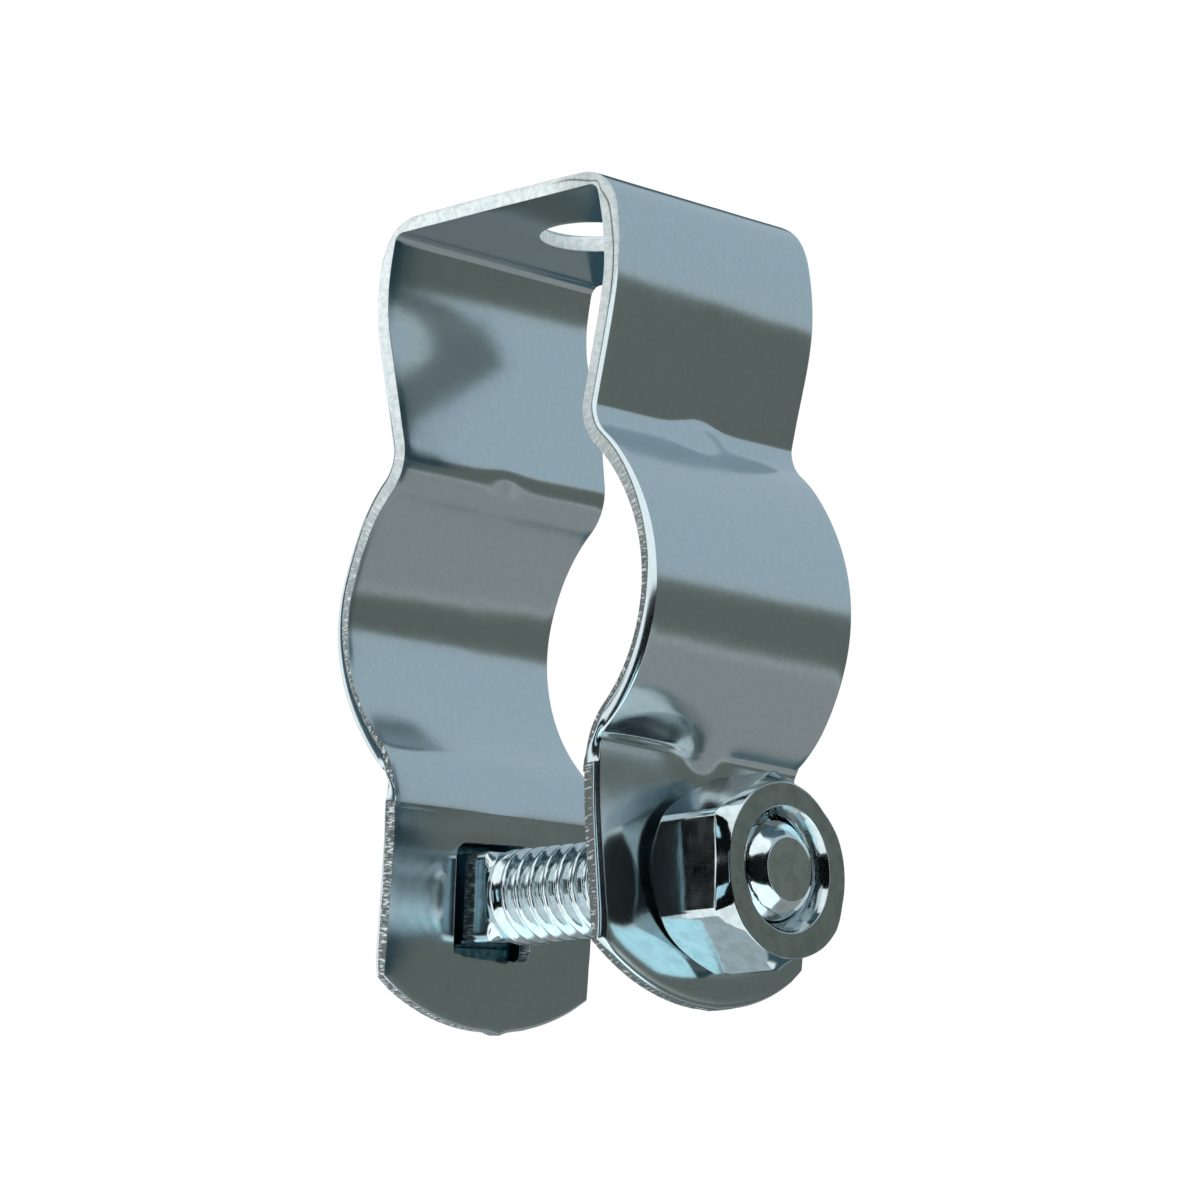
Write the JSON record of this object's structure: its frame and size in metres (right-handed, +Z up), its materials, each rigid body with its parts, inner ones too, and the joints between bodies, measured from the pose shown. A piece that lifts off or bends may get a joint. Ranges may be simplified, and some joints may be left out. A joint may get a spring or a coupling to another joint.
{
  "type": "conduit clamp",
  "caption": "Pear-shaped strip-steel hanger clamp that holds a conduit in its ring, hangs from the hole in its flat top and is drawn together by a carriage bolt and hex nut.",
  "frame": {"origin": "centre of the fixing hole, on the outer face of the flat top plate", "axes": "+Z up, out of the top plate along the fixing hole; X along the bolt, with the nut at +X; Y along the conduit"},
  "size_m": [0.0316, 0.019, 0.0538],
  "materials": {
    "zinc_strip": "bright zinc plate on rolled strip, sheared edges left rough",
    "zinc_bolt": "bright zinc plate on a cold-headed bolt with a rolled thread",
    "zinc_nut": "bright zinc plate, matte on the outer ring"
  },
  "bodies": {
    "strap": {"strap": "zinc_strip"},
    "bolt": {"carriage_bolt": "zinc_bolt"},
    "nut": {"hex_nut": "zinc_nut"}
  },
  "joints": [
    {"name": "bolt_slide", "type": "slide", "parent": "strap", "child": "bolt", "axis": [1, 0, 0], "range_m": [-0.00635, 0]},
    {"name": "nut_turn", "type": "hinge", "parent": "strap", "child": "nut", "pos_m": [0.0138, 0, -0.045], "axis": [1, 0, 0], "range_deg": [0, 1800]}
  ],
  "couplings": [
    {"joint": "nut_turn", "follows": "bolt_slide", "rad_per_m": -4947.3}
  ]
}
